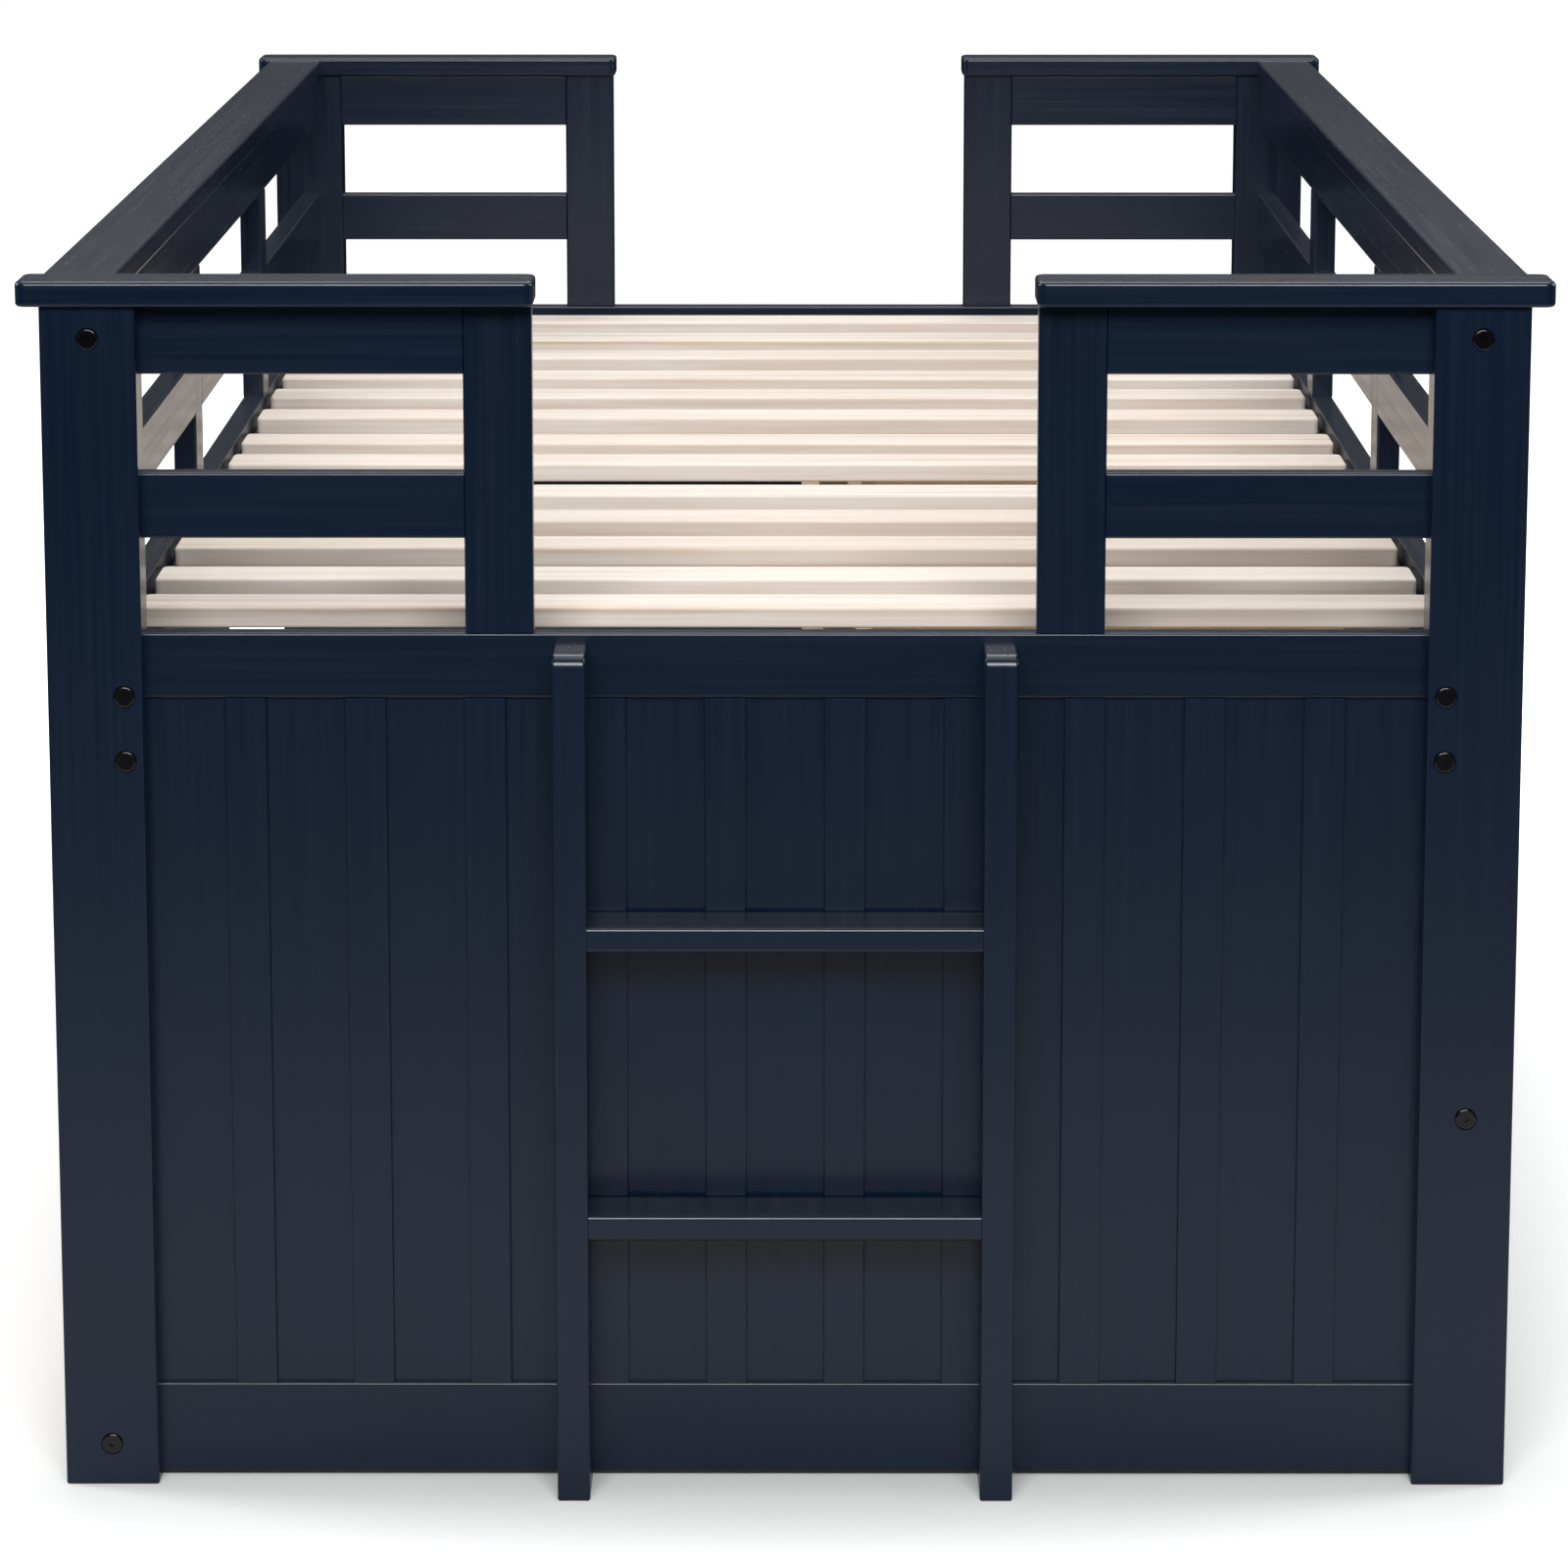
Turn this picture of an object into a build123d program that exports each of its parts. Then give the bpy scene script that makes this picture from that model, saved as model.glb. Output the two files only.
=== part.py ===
from build123d import *
from collections import namedtuple
import os

# A twin captains bed in painted wood, in millimetres.
# X runs across the bed, Y along it from the ladder end to the rear end, Z up from the floor.
# The origin is on the floor, under the middle of the whole object with its ladder and caps.
# The ladder end is "front" at -Y, the drawers and the trundle are on the right at +X.

# Posts and the space between them
CLEAR_LENGTH = 1930.0
CLEAR_WIDTH = 972.0
POST_WIDTH = 72.0
POST_DEPTH = 40.0
POST_HEIGHT = 921.0
BOARD = 20.0
EDGE_EASE = 2.0
FOOT_EASE = 1.8
OVERCUT = 1.0

# End frames: two rails, and a panel with raised battens between them
END_TOP_RAIL_TOP = 669.0
END_TOP_RAIL_HEIGHT = 50.0
END_BOTTOM_RAIL_BOTTOM = 4.0
END_BOTTOM_RAIL_HEIGHT = 72.0
RECESS_COUNT = 11
BATTEN_WIDTH = 31.2
BATTEN_THICKNESS = 5.0
BATTEN_EASE = 0.8
PANEL_THICKNESS = 6.0
GROOVE_DEPTH = 8.0
GROOVE_CLEARANCE = 0.15
GROOVE_END_CLEARANCE = 0.5

# Guards over the end frames, one each side of the entry
ENTRY_WIDTH = 381.0
END_STILE_WIDTH = 52.0
END_GUARD_TOP_HEIGHT = 54.0
END_GUARD_MID_BOTTOM = 742.0
END_GUARD_MID_HEIGHT = 50.0

# Guards along the sides
SIDE_CAP_DROP = 3.0
SIDE_GUARD_TOP_HEIGHT = 53.0
SIDE_GUARD_MID_BOTTOM = 741.0
SIDE_GUARD_MID_HEIGHT = 50.0
SIDE_STILE_WIDTH = 55.0
SIDE_STILE_FROM_MIDDLE = 312.0

# Flat caps on the guards
CAP_WIDTH = 56.0
CAP_THICKNESS = 19.0
CAP_END_OVERHANG = 8.0
CAP_SIDE_OVERHANG = 17.0
CAP_ENTRY_OVERHANG = 2.5
SIDE_CAP_OVERHANG = 6.0
CAP_CORNER = 8.0
CAP_EASE = 3.0

# Mattress deck
SLAT_COUNT = 13
SLAT_TOP = 665.0
SLAT_THICKNESS = 16.5
SLAT_WIDTH = 60.0
SLAT_CORNER = 6.0
SLAT_EASE = 2.5
SLAT_END_GAP = 5.0
FIRST_SLAT_GAP = 112.0
LAST_SLAT_GAP = 44.0
SLAT_SHIFTS = (0, -15, -10, -15, -22, 12, -6, 10, 6, -5, 5, -1, 0)
LEDGER_THICKNESS = 24.0
LEDGER_HEIGHT = 100.0

# Long rails
SIDE_RAIL_TOP = 667.0
SIDE_RAIL_HEIGHT = 100.0
LOW_RAIL_BOTTOM = 8.0
LOW_RAIL_HEIGHT = 50.0
MID_RAIL_BOTTOM = 269.0
MID_RAIL_HEIGHT = 50.0

# Ladder on the front end
LADDER_CLEAR_WIDTH = 300.0
LADDER_STILE_WIDTH = 25.0
LADDER_DEPTH = 58.0
LADDER_HEIGHT = 662.0
LADDER_TOP_ROUND = 9.0
TREAD_TOPS = (227.0, 453.0)
TREAD_THICKNESS = 20.0
TREAD_SETBACK = 1.5
TREAD_EASE = 3.5

# Connector bolts, their barrel nuts, dowels and the pins under the slats.
# The dowels' places are shares of the width of the board that they join.
BOLT_DIAMETER = 6.0
BOLT_HOLE = 7.0
BOLT_HEAD_DIAMETER = 16.5
BOLT_HEAD_THICKNESS = 2.4
BOLT_HEAD_ROUND = 1.7
BOLT_RECESS_DIAMETER = 17.5
BOLT_RECESS_DEPTH = 1.4
BOLT_PAST_NUT = 8.0
SOCKET_WIDTH = 4.0
SOCKET_DEPTH = 1.7
NUT_DIAMETER = 10.0
NUT_LENGTH = 14.0
NUT_CLEARANCE = 0.1
NUT_SETBACK = 25.0
GUARD_BOLT_DROP = 22.0
LEDGER_BOLT_DROPS = (25.0, 75.0)
LADDER_BOLT_REACH = 40.0
DOWEL_DIAMETER = 8.0
DOWEL_LENGTH = 28.0
DOWEL_CLEARANCE = 0.1
DOWEL_END_CLEARANCE = 1.0
TOP_RAIL_DOWELS = (0.4, 0.8)
BOTTOM_RAIL_DOWELS = (0.28, 0.64)
SIDE_RAIL_DOWELS = (0.3, 0.7)
STILE_DOWELS = (0.25, 0.75)
TREAD_DOWELS = (0.25, 0.75)
PIN_DIAMETER = 6.0
PIN_IN_SLAT = 10.0
PIN_IN_LEDGER = 16.0

# Drawer case behind the right side
CASE_DEPTH = 480.0
CASE_HEIGHT = 221.0
CASE_END_GAP = 1.0
DECK_THICKNESS = 12.0
DECK_REBATE = 5.0
CASE_BOARD = 12.0
CASE_BACK_THICKNESS = 18.0
CLEAT_HEIGHT = 38.0
CLEAT_BEARING = 18.0

# Drawers
FACE_GAP = 3.0
FACE_BACK_GAP = 0.5
DRAWER_BACK_GAP = 30.0
DRAWER_HEIGHT = 200.0
DRAWER_DECK_GAP = 7.0
DRAWER_SIDE_GAP = 1.5
DRAWER_BOARD = 14.0
DRAWER_BOTTOM = 6.0
DRAWER_BOTTOM_UP = 10.0
DRAWER_BOTTOM_GROOVE = 6.0
DRAWER_BOTTOM_CLEARANCE = 0.25
RUNNER_THICKNESS = 8.0
RUNNER_HEIGHT = 14.0
RUNNER_UP = 94.0
RUNNER_CLEARANCE = 0.3
RUNNER_SIDE_CLEARANCE = 0.5
RUNNER_END_GAP = 6.0
KNOB_DIAMETER = 32.0
KNOB_LENGTH = 25.0
KNOB_FOOT = 18.0
KNOB_NECK = 13.0
KNOB_HEAD_FROM = 12.0
KNOB_CROWN = 4.0
KNOB_UNDER_ROUND = 5.0
KNOB_RIM_ROUND = 2.0
DRAWER_KNOB_INSET = 138.0

# Trundle that rolls out under the drawers
TRUNDLE_FACE_BOTTOM = 14.0
TRUNDLE_FACE_TOP_GAP = 7.0
TRUNDLE_END_GAP = 12.0
TRUNDLE_BACK_GAP = 22.0
TRUNDLE_BOARD = 18.0
TRUNDLE_KNOB_INSET = 425.0
TRUNDLE_SIDE_BOTTOM = 60.0
TRUNDLE_SIDE_HEIGHT = 140.0
TRUNDLE_LEDGER_HEIGHT = 30.0
TRUNDLE_LEDGER_UP = 4.0
TRUNDLE_SLAT_COUNT = 12
TRUNDLE_SLAT_WIDTH = 70.0
TRUNDLE_SLAT_THICKNESS = 14.0
TRUNDLE_SLAT_GAP = 1.0
WHEEL_DIAMETER = 50.0
WHEEL_WIDTH = 18.0
WHEEL_EASE = 4.0
WHEEL_INSET = 60.0
AXLE_DIAMETER = 6.0
AXLE_RUNNING_CLEARANCE = 0.08
AXLE_SEAT_CLEARANCE = 0.05
AXLE_PROUD = 1.0
CHEEK_THICKNESS = 2.0
CHEEK_GAP = 1.5
CHEEK_LENGTH = 26.0
CHEEK_BELOW_AXLE = 9.0
BRACKET_LENGTH = 60.0
BRACKET_WIDTH = 34.0

# Planes that several pieces share
LADDER_PROUD = LADDER_DEPTH - (POST_DEPTH - BOARD)
FRAME_LENGTH = CLEAR_LENGTH + 2 * POST_DEPTH
MID_Y = (LADDER_PROUD - CAP_END_OVERHANG) / 2
POST_INNER_X = CLEAR_WIDTH / 2
POST_MID_X = POST_INNER_X + POST_WIDTH / 2
POST_OUTER_X = POST_INNER_X + POST_WIDTH
SIDE_INNER_X = POST_MID_X - BOARD / 2
SIDE_OUTER_X = POST_MID_X + BOARD / 2
LEDGER_MID_X = SIDE_INNER_X - LEDGER_THICKNESS / 2
LEDGER_TOP = SLAT_TOP - SLAT_THICKNESS
SIDE_GUARD_TOP = POST_HEIGHT - SIDE_CAP_DROP
END_RAIL_BOTTOM = END_TOP_RAIL_TOP - END_TOP_RAIL_HEIGHT
END_PANEL_BOTTOM = END_BOTTOM_RAIL_BOTTOM + END_BOTTOM_RAIL_HEIGHT
STILE_INNER_X = ENTRY_WIDTH / 2
STILE_OUTER_X = STILE_INNER_X + END_STILE_WIDTH
SIDE_RAIL_BOTTOM = SIDE_RAIL_TOP - SIDE_RAIL_HEIGHT
MID_RAIL_TOP = MID_RAIL_BOTTOM + MID_RAIL_HEIGHT
DECK_BOTTOM = MID_RAIL_TOP - DECK_THICKNESS
CASE_TOP = MID_RAIL_TOP + CASE_HEIGHT
CASE_BACK_X = SIDE_INNER_X - CASE_DEPTH
DRAWER_DEPTH = CASE_DEPTH - DRAWER_BACK_GAP
FRONT_BACK_X = SIDE_INNER_X + FACE_BACK_GAP
LADDER_OUTER_X = LADDER_CLEAR_WIDTH / 2 + LADDER_STILE_WIDTH
LADDER_MID_X = LADDER_CLEAR_WIDTH / 2 + LADDER_STILE_WIDTH / 2

ENDS = {"front": -1, "rear": 1}
SIDES = {"left": -1, "right": 1}
Hole = namedtuple("Hole", "centre axis diameter length")


def end_y(end, inward):
    """The y of a plane that lies so far in from the outer face of an end's posts."""
    return MID_Y + ENDS[end] * (FRAME_LENGTH / 2 - inward)


def board(x_span, y_span, z_span, grain=None, ease=EDGE_EASE):
    """A board that fills three spans, with the edges along its grain eased."""
    spans = [sorted(span) for span in (x_span, y_span, z_span)]
    centre = [(low + high) / 2 for low, high in spans]
    size = [high - low for low, high in spans]
    body = Pos(*centre) * Box(*size)
    if grain is None:
        return body
    return fillet(body.edges().filter_by(grain), min(ease, min(size) / 3))


def rod(centre, axis, diameter, length):
    """A round rod along X, Y or Z, centred on a point."""
    turn = {"X": Rot(0, 90, 0), "Y": Rot(90, 0, 0), "Z": Rot(0, 0, 0)}[axis]
    return Pos(*centre) * turn * Cylinder(diameter / 2, length)


def drilled(body, holes):
    """A body with every hole that reaches into it cut out."""
    box = body.bounding_box()
    low = (box.min.X, box.min.Y, box.min.Z)
    high = (box.max.X, box.max.Y, box.max.Z)
    cutters = []
    for hole in holes:
        half = [hole.length / 2 if name == hole.axis else hole.diameter / 2 for name in "XYZ"]
        if all(low[i] - half[i] < hole.centre[i] < high[i] + half[i] for i in range(3)):
            cutters.append(rod(*hole))
    return body - cutters if cutters else body


def outward(end):
    """The turn that points a part's local Z out of an end."""
    return Rot(-90 * ENDS[end], 0, 0)


# Places of the dowels and bolts


def dowel_places():
    """The centre and direction of every dowel, each on the plane of its joint."""
    places = []
    guard_top_z = POST_HEIGHT - END_GUARD_TOP_HEIGHT / 2
    guard_mid_z = END_GUARD_MID_BOTTOM + END_GUARD_MID_HEIGHT / 2
    for end in ENDS:
        y = end_y(end, POST_DEPTH - BOARD / 2)
        for side in SIDES.values():
            for share in TOP_RAIL_DOWELS:
                z = END_RAIL_BOTTOM + share * END_TOP_RAIL_HEIGHT
                places.append(((side * POST_INNER_X, y, z), "X"))
            for share in BOTTOM_RAIL_DOWELS:
                z = END_BOTTOM_RAIL_BOTTOM + share * END_BOTTOM_RAIL_HEIGHT
                places.append(((side * POST_INNER_X, y, z), "X"))
            for z in (guard_top_z, guard_mid_z):
                places.append(((side * POST_INNER_X, y, z), "X"))
                places.append(((side * STILE_OUTER_X, y, z), "X"))
            for share in STILE_DOWELS:
                x = side * (STILE_INNER_X + share * END_STILE_WIDTH)
                places.append(((x, y, END_TOP_RAIL_TOP), "Z"))
    for side in SIDES.values():
        x = side * POST_MID_X
        mid_z = SIDE_GUARD_MID_BOTTOM + SIDE_GUARD_MID_HEIGHT / 2
        for end in ENDS:
            y = end_y(end, POST_DEPTH)
            places.append(((x, y, mid_z), "Y"))
            for share in SIDE_RAIL_DOWELS:
                places.append(((x, y, SIDE_RAIL_BOTTOM + share * SIDE_RAIL_HEIGHT), "Y"))
            stile_y = MID_Y + ENDS[end] * SIDE_STILE_FROM_MIDDLE
            for edge in (-1, 1):
                places.append(((x, stile_y + edge * SIDE_STILE_WIDTH / 2, mid_z), "Y"))
            for z in (SIDE_RAIL_TOP, SIDE_GUARD_TOP - SIDE_GUARD_TOP_HEIGHT):
                places.append(((x, stile_y, z), "Z"))
    for end in ENDS.values():
        for z in (MID_RAIL_TOP, SIDE_RAIL_BOTTOM):
            places.append(((POST_MID_X, MID_Y + end * SIDE_STILE_FROM_MIDDLE, z), "Z"))
    tread_low, tread_high = tread_span()
    for top in TREAD_TOPS:
        for share in TREAD_DOWELS:
            y = tread_low + share * (tread_high - tread_low)
            for side in SIDES.values():
                x = side * LADDER_CLEAR_WIDTH / 2
                places.append(((x, y, top - TREAD_THICKNESS / 2), "X"))
    return places


def tread_span():
    """The y where a tread's front edge lies, and where its back meets the end rails' plane."""
    back = end_y("front", POST_DEPTH - BOARD)
    return back - LADDER_DEPTH + TREAD_SETBACK, back - TREAD_SETBACK


def frame_bolt_places():
    """x, z and the inner face of the rail that each frame bolt draws tight, at either end."""
    places = []
    for name, side in SIDES.items():
        places.append((side * POST_MID_X, SIDE_GUARD_TOP - GUARD_BOLT_DROP, side * SIDE_INNER_X))
        for drop in LEDGER_BOLT_DROPS:
            inner = side * (SIDE_INNER_X - LEDGER_THICKNESS)
            places.append((side * LEDGER_MID_X, LEDGER_TOP - drop, inner))
        if name == "left":
            z = LOW_RAIL_BOTTOM + LOW_RAIL_HEIGHT / 2
        else:
            z = MID_RAIL_BOTTOM + MID_RAIL_HEIGHT / 2
        places.append((side * POST_MID_X, z, side * SIDE_INNER_X))
    return places


def ladder_bolt_places():
    """x and z of the bolts that hold the ladder to the front end's two rails."""
    heights = (
        END_RAIL_BOTTOM + END_TOP_RAIL_HEIGHT / 2,
        END_BOTTOM_RAIL_BOTTOM + END_BOTTOM_RAIL_HEIGHT / 2,
    )
    return [(side * LADDER_MID_X, z) for side in SIDES.values() for z in heights]


def slat_fronts():
    """The y of each slat's front edge: even spacing, shifted as the slats were laid."""
    first = end_y("front", POST_DEPTH) + FIRST_SLAT_GAP
    last = end_y("rear", POST_DEPTH) - LAST_SLAT_GAP - SLAT_WIDTH
    pitch = (last - first) / (SLAT_COUNT - 1)
    shifts = [SLAT_SHIFTS[i % len(SLAT_SHIFTS)] for i in range(SLAT_COUNT)]
    return [first + i * pitch + shifts[i] for i in range(SLAT_COUNT)]


def dowel_holes():
    length = DOWEL_LENGTH + 2 * DOWEL_END_CLEARANCE
    diameter = DOWEL_DIAMETER + 2 * DOWEL_CLEARANCE
    return [Hole(centre, axis, diameter, length) for centre, axis in dowel_places()]


def frame_bolt_holes():
    """Recess, through hole and barrel nut hole of every frame bolt."""
    holes = []
    reach = POST_DEPTH + NUT_SETBACK + BOLT_PAST_NUT + DOWEL_END_CLEARANCE
    for end in ENDS:
        for x, z, inner in frame_bolt_places():
            holes.append(Hole((x, end_y(end, reach / 2), z), "Y", BOLT_HOLE, reach))
            recess_y = end_y(end, 0)
            holes.append(Hole((x, recess_y, z), "Y", BOLT_RECESS_DIAMETER, 2 * BOLT_RECESS_DEPTH))
            side = 1 if x > 0 else -1
            far = x + side * (NUT_LENGTH / 2 + 2 * NUT_CLEARANCE)
            near = inner - side * OVERCUT
            centre = ((far + near) / 2, end_y(end, POST_DEPTH + NUT_SETBACK), z)
            holes.append(Hole(centre, "X", NUT_DIAMETER + 2 * NUT_CLEARANCE, abs(far - near)))
    return holes


def ladder_bolt_holes():
    """Recess in the back of the end rails, and the hole on into the ladder's stiles."""
    holes = []
    reach = BOARD + LADDER_BOLT_REACH + DOWEL_END_CLEARANCE
    for x, z in ladder_bolt_places():
        holes.append(Hole((x, end_y("front", POST_DEPTH - reach / 2), z), "Y", BOLT_HOLE, reach))
        recess_y = end_y("front", POST_DEPTH)
        holes.append(Hole((x, recess_y, z), "Y", BOLT_RECESS_DIAMETER, 2 * BOLT_RECESS_DEPTH))
    return holes


HOLES = dowel_holes() + frame_bolt_holes() + ladder_bolt_holes()


# The two panelled ends


def post(end, side):
    """A corner post with a groove for the end panel, eased edges and a softened foot."""
    x = (SIDES[side] * POST_INNER_X, SIDES[side] * POST_OUTER_X)
    body = board(x, (end_y(end, 0), end_y(end, POST_DEPTH)), (0, POST_HEIGHT), Axis.Z)
    body = fillet(body.faces().sort_by(Axis.Z)[0].edges(), FOOT_EASE)
    near, far = panel_span(GROOVE_CLEARANCE)
    depth = GROOVE_DEPTH + GROOVE_END_CLEARANCE
    groove_x = (x[0] - SIDES[side] * OVERCUT, x[0] + SIDES[side] * depth)
    z = (END_PANEL_BOTTOM - depth, END_RAIL_BOTTOM + depth)
    body -= board(groove_x, (end_y(end, near), end_y(end, far)), z)
    return drilled(body, HOLES)


def panel_span(clearance=0.0):
    """How far in the end panel's two faces lie, behind battens that are flush with the rails."""
    front = POST_DEPTH - BOARD + BATTEN_THICKNESS
    return front - clearance, front + PANEL_THICKNESS + clearance


def end_rail(end, low, high, groove_at):
    """A rail between the posts, grooved along one edge for the end panel."""
    y = (end_y(end, POST_DEPTH - BOARD), end_y(end, POST_DEPTH))
    body = board((-POST_INNER_X, POST_INNER_X), y, (low, high), Axis.X)
    near, far = panel_span(GROOVE_CLEARANCE)
    depth = GROOVE_DEPTH + GROOVE_END_CLEARANCE
    cut = (low - OVERCUT, low + depth) if groove_at == "low" else (high - depth, high + OVERCUT)
    length = (-POST_INNER_X - OVERCUT, POST_INNER_X + OVERCUT)
    body -= board(length, (end_y(end, near), end_y(end, far)), cut)
    return drilled(body, HOLES)


def end_panel(end):
    near, far = panel_span()
    x = POST_INNER_X + GROOVE_DEPTH
    z = (END_PANEL_BOTTOM - GROOVE_DEPTH, END_RAIL_BOTTOM + GROOVE_DEPTH)
    return board((-x, x), (end_y(end, near), end_y(end, far)), z)


def end_battens(end):
    """Upright battens, one between each two recesses, flush with the rails."""
    count = RECESS_COUNT - 1
    recess = (CLEAR_WIDTH - count * BATTEN_WIDTH) / RECESS_COUNT
    y = (end_y(end, POST_DEPTH - BOARD), end_y(end, panel_span()[0]))
    battens = []
    for i in range(count):
        x = -POST_INNER_X + recess + i * (recess + BATTEN_WIDTH)
        z = (END_PANEL_BOTTOM, END_RAIL_BOTTOM)
        battens.append(board((x, x + BATTEN_WIDTH), y, z, Axis.Z, BATTEN_EASE))
    return battens


def end_guard_rails(end):
    """Top and middle rails, from each post to the stile beside the entry."""
    y = (end_y(end, POST_DEPTH - BOARD), end_y(end, POST_DEPTH))
    rails = []
    for side in SIDES.values():
        x = (side * STILE_OUTER_X, side * POST_INNER_X)
        spans = (
            (POST_HEIGHT - END_GUARD_TOP_HEIGHT, POST_HEIGHT),
            (END_GUARD_MID_BOTTOM, END_GUARD_MID_BOTTOM + END_GUARD_MID_HEIGHT),
        )
        for z in spans:
            rails.append(drilled(board(x, y, z, Axis.X), HOLES))
    return rails


def end_guard_stiles(end):
    y = (end_y(end, POST_DEPTH - BOARD), end_y(end, POST_DEPTH))
    stiles = []
    for side in SIDES.values():
        x = (side * STILE_INNER_X, side * STILE_OUTER_X)
        stiles.append(drilled(board(x, y, (END_TOP_RAIL_TOP, POST_HEIGHT), Axis.Z), HOLES))
    return stiles


def cap(x_span, y_span, bottom, corner):
    """A flat cap board, its plan corners rounded and all its edges eased."""
    body = board(x_span, y_span, (bottom, bottom + CAP_THICKNESS))
    if corner:
        body = fillet(body.edges().filter_by(Axis.Z), corner)
        rims = body.faces().sort_by(Axis.Z)
        return fillet(rims[0].edges() + rims[-1].edges(), CAP_EASE)
    return fillet(body.edges().filter_by(Axis.Y), CAP_EASE)


def end_caps(end):
    """The two caps of an end, which stop just past the stiles beside the entry."""
    y = (end_y(end, -CAP_END_OVERHANG), end_y(end, CAP_WIDTH - CAP_END_OVERHANG))
    caps = []
    for side in SIDES.values():
        x = (side * (STILE_INNER_X - CAP_ENTRY_OVERHANG), side * (POST_OUTER_X + CAP_SIDE_OVERHANG))
        caps.append(cap(x, y, POST_HEIGHT, CAP_CORNER))
    return caps


# The two long sides


def side_cap(side):
    """A side cap, a little lower than the end caps that it runs between."""
    outer = POST_OUTER_X + SIDE_CAP_OVERHANG
    inset = CAP_WIDTH - CAP_END_OVERHANG
    x = (SIDES[side] * (outer - CAP_WIDTH), SIDES[side] * outer)
    return cap(x, (end_y("front", inset), end_y("rear", inset)), SIDE_GUARD_TOP, 0)


def side_plank(side, low, height, y_span=None):
    """A painted board in the plane of the side guards, post to post unless a span is given."""
    x = (SIDES[side] * SIDE_INNER_X, SIDES[side] * SIDE_OUTER_X)
    y = y_span or (end_y("front", POST_DEPTH), end_y("rear", POST_DEPTH))
    return board(x, y, (low, low + height), Axis.Y)


def stile_edges():
    """The y of the front and rear edge of each side stile."""
    half = SIDE_STILE_WIDTH / 2
    middles = [MID_Y + end * SIDE_STILE_FROM_MIDDLE for end in ENDS.values()]
    return [(middle - half, middle + half) for middle in middles]


def guard_bays():
    """The three stretches along a side that the stiles leave between the posts."""
    front_stile, rear_stile = stile_edges()
    return [
        (end_y("front", POST_DEPTH), front_stile[0]),
        (front_stile[1], rear_stile[0]),
        (rear_stile[1], end_y("rear", POST_DEPTH)),
    ]


def side_guard_rails(side):
    """The long top rail, and a middle rail in each bay between the stiles."""
    low = SIDE_GUARD_TOP - SIDE_GUARD_TOP_HEIGHT
    rails = [side_plank(side, low, SIDE_GUARD_TOP_HEIGHT)]
    for bay in guard_bays():
        rails.append(side_plank(side, SIDE_GUARD_MID_BOTTOM, SIDE_GUARD_MID_HEIGHT, bay))
    return [drilled(rail, HOLES) for rail in rails]


def uprights(side, low, high):
    """Two upright boards at the side stiles' places, in the plane of the side guards."""
    x = (SIDES[side] * SIDE_INNER_X, SIDES[side] * SIDE_OUTER_X)
    return [drilled(board(x, edges, (low, high), Axis.Z), HOLES) for edges in stile_edges()]


def ledger(side):
    """The inner board that the slats lie on, drilled for the slats' pins."""
    x = (SIDES[side] * (SIDE_INNER_X - LEDGER_THICKNESS), SIDES[side] * SIDE_INNER_X)
    y = (end_y("front", POST_DEPTH), end_y("rear", POST_DEPTH))
    body = board(x, y, (LEDGER_TOP - LEDGER_HEIGHT, LEDGER_TOP), Axis.Y)
    return drilled(body, HOLES + pin_holes())


def mid_rail():
    """The right side's middle rail, rebated along its inner top edge for the case deck."""
    body = side_plank("right", MID_RAIL_BOTTOM, MID_RAIL_HEIGHT)
    x = (SIDE_INNER_X - OVERCUT, SIDE_INNER_X + DECK_REBATE)
    y = (end_y("front", POST_DEPTH - OVERCUT), end_y("rear", POST_DEPTH - OVERCUT))
    body -= board(x, y, (DECK_BOTTOM, MID_RAIL_TOP + OVERCUT))
    return drilled(body, HOLES)


# The mattress deck


def pin_places():
    """The middle of each pin, which stands half in a ledger and half in a slat's end."""
    z = LEDGER_TOP + (PIN_IN_SLAT - PIN_IN_LEDGER) / 2
    middles = [front + SLAT_WIDTH / 2 for front in slat_fronts()]
    return [(side * LEDGER_MID_X, y, z) for y in middles for side in SIDES.values()]


def pin_holes():
    """Blind holes up into the slats and down into the ledgers."""
    diameter = PIN_DIAMETER + 2 * DOWEL_CLEARANCE
    length = PIN_IN_SLAT + PIN_IN_LEDGER + 2 * DOWEL_END_CLEARANCE
    return [Hole(place, "Z", diameter, length) for place in pin_places()]


def slats():
    """Slats with rounded corners and eased rims, each with a blind hole under either end."""
    end_x = SIDE_INNER_X - SLAT_END_GAP
    planks = []
    for front in slat_fronts():
        plank = board((-end_x, end_x), (front, front + SLAT_WIDTH), (LEDGER_TOP, SLAT_TOP))
        plank = fillet(plank.edges().filter_by(Axis.Z), SLAT_CORNER)
        rims = plank.faces().sort_by(Axis.Z)
        plank = fillet(rims[0].edges() + rims[-1].edges(), SLAT_EASE)
        planks.append(drilled(plank, pin_holes()))
    return planks


def slat_pins():
    return [rod(place, "Z", PIN_DIAMETER, PIN_IN_SLAT + PIN_IN_LEDGER) for place in pin_places()]


# The ladder


def ladder_stiles():
    """Ladder sides with a well rounded front top corner, against the front end's rails."""
    back = end_y("front", POST_DEPTH - BOARD)
    stiles = []
    for side in SIDES.values():
        x = (side * LADDER_CLEAR_WIDTH / 2, side * LADDER_OUTER_X)
        body = board(x, (back - LADDER_DEPTH, back), (0, LADDER_HEIGHT))
        top_edges = body.edges().filter_by(Axis.X).sort_by(Axis.Z)[-2:]
        body = fillet(top_edges.sort_by(Axis.Y)[0], LADDER_TOP_ROUND)
        rims = body.faces().sort_by(Axis.X)
        body = fillet(rims[0].edges() + rims[-1].edges(), EDGE_EASE)
        stiles.append(drilled(body, HOLES))
    return stiles


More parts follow.
